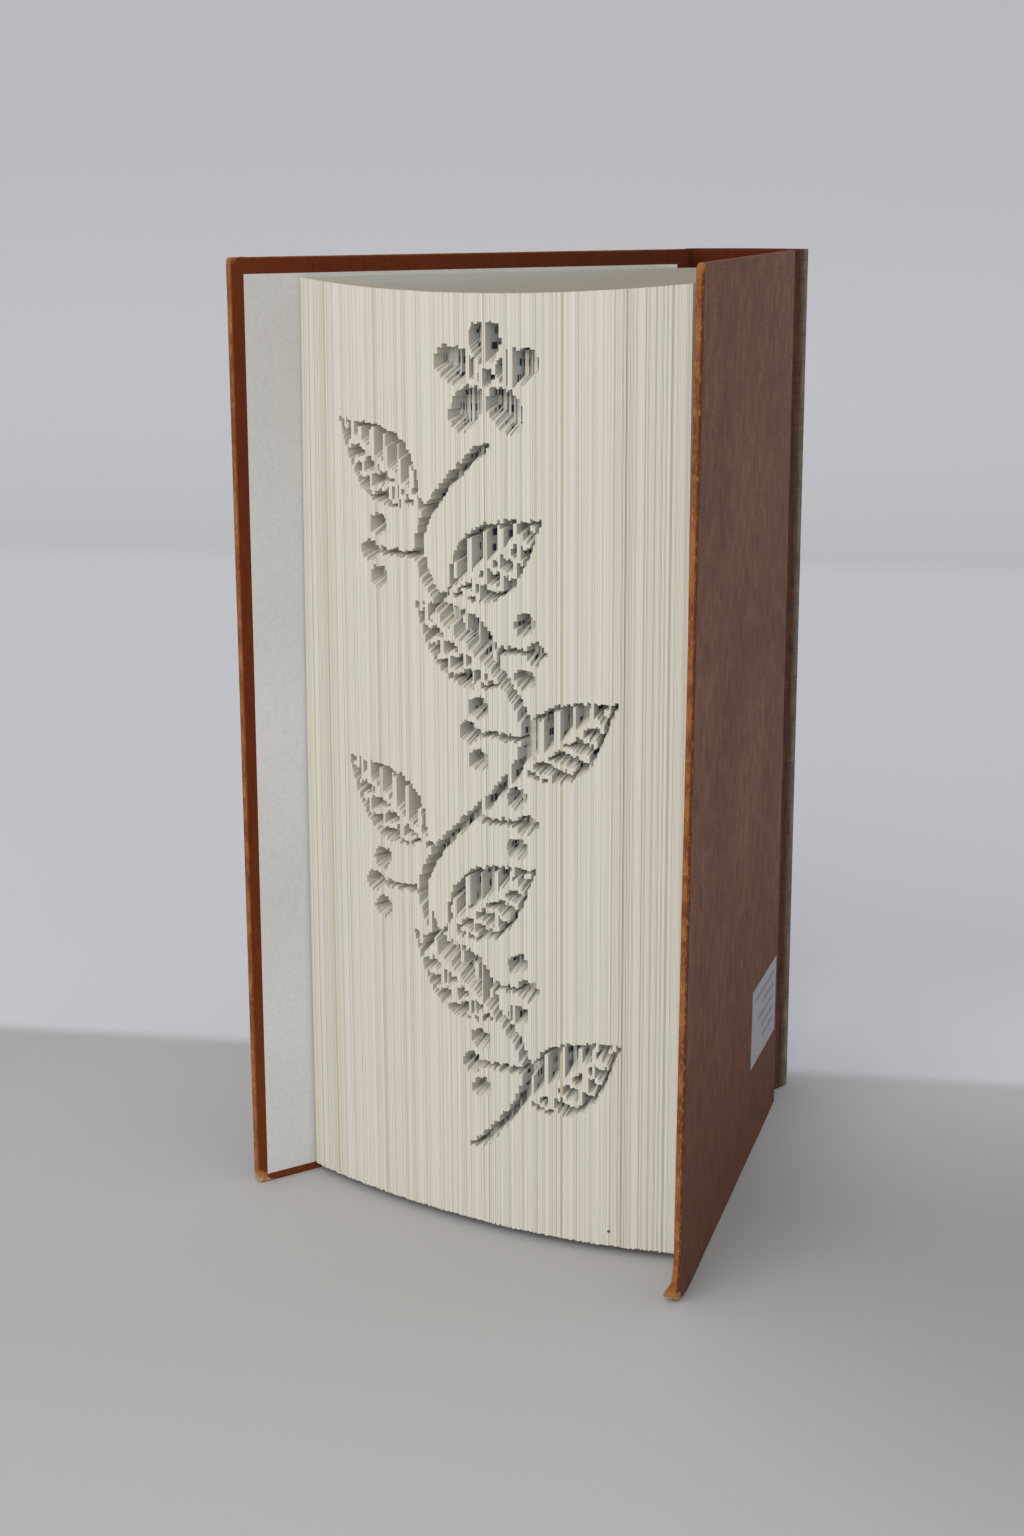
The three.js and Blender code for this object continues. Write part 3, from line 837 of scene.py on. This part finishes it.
def spine_half(side, depth):
    """The cloth from the groove over the ridge to the middle of the back, at a depth below its face."""

    def turned(x, y):
        c, s = math.cos(-HINGE_LINE), math.sin(-HINGE_LINE)
        return np.array((c * x - s * y, s * x + c * y))

    back = turned(-side * math.sin(FAN_HALF), math.cos(FAN_HALF))
    out = turned(side * math.cos(FAN_HALF), math.sin(FAN_HALF))
    start = np.array((side * SPAN / 2, 0.0)) + out * (CLOTH / 2 - depth)
    ridge = np.array(((SPINE_WIDTH / 2 - depth) * side, RIDGE_BACK))
    lead = (RIDGE_BACK - SHOULDER_RUN) / 2
    knots = [start + back * SHOULDER_RUN, start + back * (SHOULDER_RUN + lead), ridge - (0, lead), ridge]
    points = [start + back * run for run in (HINGE_GAP, 1.4, 2.2)]
    for n in range(17):
        t = n / 16
        weights = ((1 - t) ** 3, 3 * t * (1 - t) ** 2, 3 * t * t * (1 - t), t**3)
        points.append(sum(w * k for w, k in zip(weights, knots)))
    for n in range(1, 9):
        turn = n / 8 * (math.pi / 2 - ROUND_REACH)
        radius = RIDGE_RADIUS - depth
        out_x, back_y = CHORD + radius * math.cos(turn), RIDGE_BACK + radius * math.sin(turn)
        points.append(np.array((out_x * side, back_y)))
    for n in range(1, 15):
        turn = ROUND_REACH * side * (1 - n / 14)
        radius = ROUND_INSIDE + RIDGE_RADIUS - depth
        points.append(np.array((radius * math.sin(turn), ROUND_CENTRE + radius * math.cos(turn))))
    return points


def spine_point(place, z):
    c, s = math.cos(HINGE_LINE), math.sin(HINGE_LINE)
    x = (FRONT_HINGE[0] + BACK_HINGE[0]) / 2 + c * place[0] - s * place[1]
    y = (FRONT_HINGE[1] + BACK_HINGE[1]) / 2 + s * place[0] + c * place[1]
    return x, y, z


INLAY_START = 28  # the point from which the inlay thickens the cloth, counted from the groove


def spine_case(name, materials):
    """The spine's cloth and inlay in one, from one joint round the back to the other."""
    faces = [spine_half(1, depth) + spine_half(-1, depth)[-2::-1] for depth in (0, CLOTH)]
    count = len(faces[0])

    def pair(n, z):
        face, under = faces[0][n], faces[1][n]
        inward = (under - face) / CLOTH
        thick = CLOTH + (SPINE_THICK - CLOTH) * smooth((min(n, count - 1 - n) - INLAY_START) / 3)
        drop = rounded(min(z, HEIGHT - z), min(0.9, thick * 0.45))
        return spine_point(face + inward * drop, z), spine_point(face + inward * (thick - drop), z)

    return sheet(name, range(count), heights(), pair, materials)


# The pieces

block = leaves()
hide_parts("book_block")
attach(block, "block")

paper = endpaper()
for side, word in ((-1, "front"), (1, "back")):
    body = word + "_cover"
    hinge_place = [c / 1000 for c in (*hinge_at(side), 0.0)]
    along = (side * math.sin(COVER_TURN), -math.cos(COVER_TURN), 0.0)
    fabric = [
        book_cloth(word + "_cloth", hinge_place, along, True),
        book_cloth(word + "_turn_in", hinge_place, along, False),
    ]
    piece = cover(side, word + "_cover_cloth", fabric)
    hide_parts(word + "_cloth", word + "_board")
    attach(piece, body)
    ends = [Vector(cover_point(side, x, 0, HEIGHT / 2)) / 1000 for x in (-HINGE_GAP, JOINT_END)]
    for piece, kind in (
        (joint(side, word + "_joint_cloth", fabric), "case_cloth"),
        (joint_paper(side, word + "_joint_paper", paper), "endpaper"),
    ):
        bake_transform(piece)
    piece = pastedown(side, word + "_pastedown_paper", paper)
    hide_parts(word + "_pastedown")
    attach(piece, body)

piece = flyleaf("front_flyleaf_paper", paper)
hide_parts("front_flyleaf")
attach(piece, "block")

piece = label("label")
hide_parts("back_label")
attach(piece, "back_cover")

spine_along = (math.cos(HINGE_LINE), math.sin(HINGE_LINE), 0.0)
spine_place = [(a + b) / 2000 for a, b in zip(FRONT_HINGE, BACK_HINGE)] + [0.0]
fabric = [
    book_cloth("spine", spine_place, spine_along, True, True),
    book_cloth("spine_turn_in", spine_place, spine_along, False, True),
]
piece = spine_case("spine_case_cloth", fabric)
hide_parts("spine_cloth", "spine_inlay")
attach(piece, "block")

for node, material in (
    ("back_flyleaf", paper),
    ("spine_mull", gauze()),
    ("spine_lining", kraft()),
):
    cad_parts[node].data.materials.clear()
    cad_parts[node].data.materials.append(material)

# Stage: a pale floor that turns to the wall's colour behind the book, and rises in a wide sweep, with painted
# light and shade on it.

WALL_AT = (-0.1388, 0.0039)
WALL_END = (0.0732, 0.1091)
STAGE_HALF = 3.0
RISE_START = 0.95
RISE_RADIUS = 0.8
STAGE_TOP = 3.2


def stage():
    finish = Finish("stage", 0.9, Specular_IOR_Level=0.1)
    direction = Vector((WALL_END[0] - WALL_AT[0], WALL_END[1] - WALL_AT[1])).normalized()
    normal = (-direction.y, direction.x, 0.0)
    local = finish.vector("SUBTRACT", finish.place, (*WALL_AT, 0.0))
    beyond = finish.vector("DOT_PRODUCT", local, normal)
    x, _, z = finish.split(finish.place)
    cloud = finish.grained((3, 3, 3), 2)
    floor = finish.mix(cloud, rgb(174, 172, 172), rgb(178, 176, 175))
    # Painted light: the floor is paler towards the front.
    floor = finish.mix(finish.step(beyond, -0.02, -0.3), floor, rgb(185, 184, 182))
    # Painted pools of light and shade: paler behind the book's right side and at the front left, darker further
    # to the right.
    for centre, radius, core, colour in (
        ((0.075, 0.07, 0.0), 0.09, 0.02, rgb(204, 203, 205)),
        ((0.19, 0.01, 0.0), 0.18, 0.04, rgb(166, 164, 164)),
        ((-0.12, -0.06, 0.0), 0.14, 0.02, rgb(186, 184, 183)),
    ):
        away = finish.vector("DISTANCE", finish.place, centre)
        floor = finish.mix(finish.step(away, radius, core), floor, colour)
    # Painted light and shade on the wall: its brightness changes along the sweep, and it darkens upwards.
    wall = finish.ramp(
        beyond,
        (0.1, rgb(210, 210, 215)),
        (0.3, rgb(211, 211, 216)),
        (0.75, rgb(218, 218, 221)),
        (0.95, rgb(219, 219, 223)),
        (1.0, rgb(211, 211, 214)),
    )
    wall = finish.mix(finish.step(z, 0.05, 0.35), wall, rgb(202, 202, 204))
    # Painted light: the foot of the wall is paler to the right.
    foot = finish.mix(finish.step(x, -0.15, 0.1), rgb(211, 211, 216), rgb(224, 224, 229))
    wall = finish.mix(finish.step(beyond, 0.14, 0.03), wall, foot)
    finish.colour(finish.mix(finish.step(beyond, -0.006, 0.006), floor, wall))
    profile = [(-STAGE_HALF, 0.0)] + [(RISE_START * n / 8, 0.0) for n in range(-8, 9)]
    for a in spaced(0, math.pi / 2, 0.08)[1:]:
        profile.append((RISE_START + RISE_RADIUS * math.sin(a), RISE_RADIUS - RISE_RADIUS * math.cos(a)))
    wall_out = RISE_START + RISE_RADIUS
    profile += [(wall_out, STAGE_TOP / 2), (wall_out, STAGE_TOP)]
    points, faces = [], []
    for u in (-STAGE_HALF, STAGE_HALF):
        for out, z in profile:
            x = WALL_AT[0] + direction.x * u + normal[0] * out
            y = WALL_AT[1] + direction.y * u + normal[1] * out
            points.append((x * 1000, y * 1000, z * 1000))
    count = len(profile)
    for k in range(count - 1):
        faces.append((k, k + count, k + count + 1, k + 1))
    sweep = solid("stage_sweep", points, faces, [finish.material])
    sweep.data.shade_smooth()


stage()

# Camera and light

camera = bpy.data.objects.new("camera", bpy.data.cameras.new("camera"))
bpy.context.scene.collection.objects.link(camera)
bpy.context.scene.camera = camera
camera.data.sensor_fit = "VERTICAL"
camera.data.sensor_height = 36
camera.data.sensor_width = 36
camera.data.lens = 53.54
camera.data.clip_start = 0.01
camera.location = (0.32259, -0.48729, 0.25240)
yaw, pitch, roll = math.radians(36.113), math.radians(13.896), math.radians(0.255)
ahead = Vector((-math.sin(yaw) * math.cos(pitch), math.cos(yaw) * math.cos(pitch), -math.sin(pitch)))
camera.rotation_mode = "QUATERNION"
camera.rotation_quaternion = ahead.to_track_quat("-Z", "Y") @ Quaternion((0, 0, 1), -roll)

world = bpy.data.worlds.new("studio")
bpy.context.scene.world = world
world.use_nodes = True
background = world.node_tree.nodes["Background"]
background.inputs["Color"].default_value = (0.96, 0.975, 1.0, 1.0)
background.inputs["Strength"].default_value = 0.72


def lamp(name, place, target, size, power, colour):
    data = bpy.data.lights.new(name, "AREA")
    data.shape = "SQUARE"
    data.size = size
    data.energy = power
    data.color = colour
    lamp_object = bpy.data.objects.new(name, data)
    bpy.context.scene.collection.objects.link(lamp_object)
    lamp_object.location = place
    lamp_object.rotation_mode = "QUATERNION"
    lamp_object.rotation_quaternion = (Vector(target) - Vector(place)).to_track_quat("-Z", "Y")


lamp("key", (0.15, -1.95, 1.3), (0, 0, 0.1), 2.0, 30, (1.0, 0.985, 0.96))

bpy.context.scene.view_settings.view_transform = "Standard"
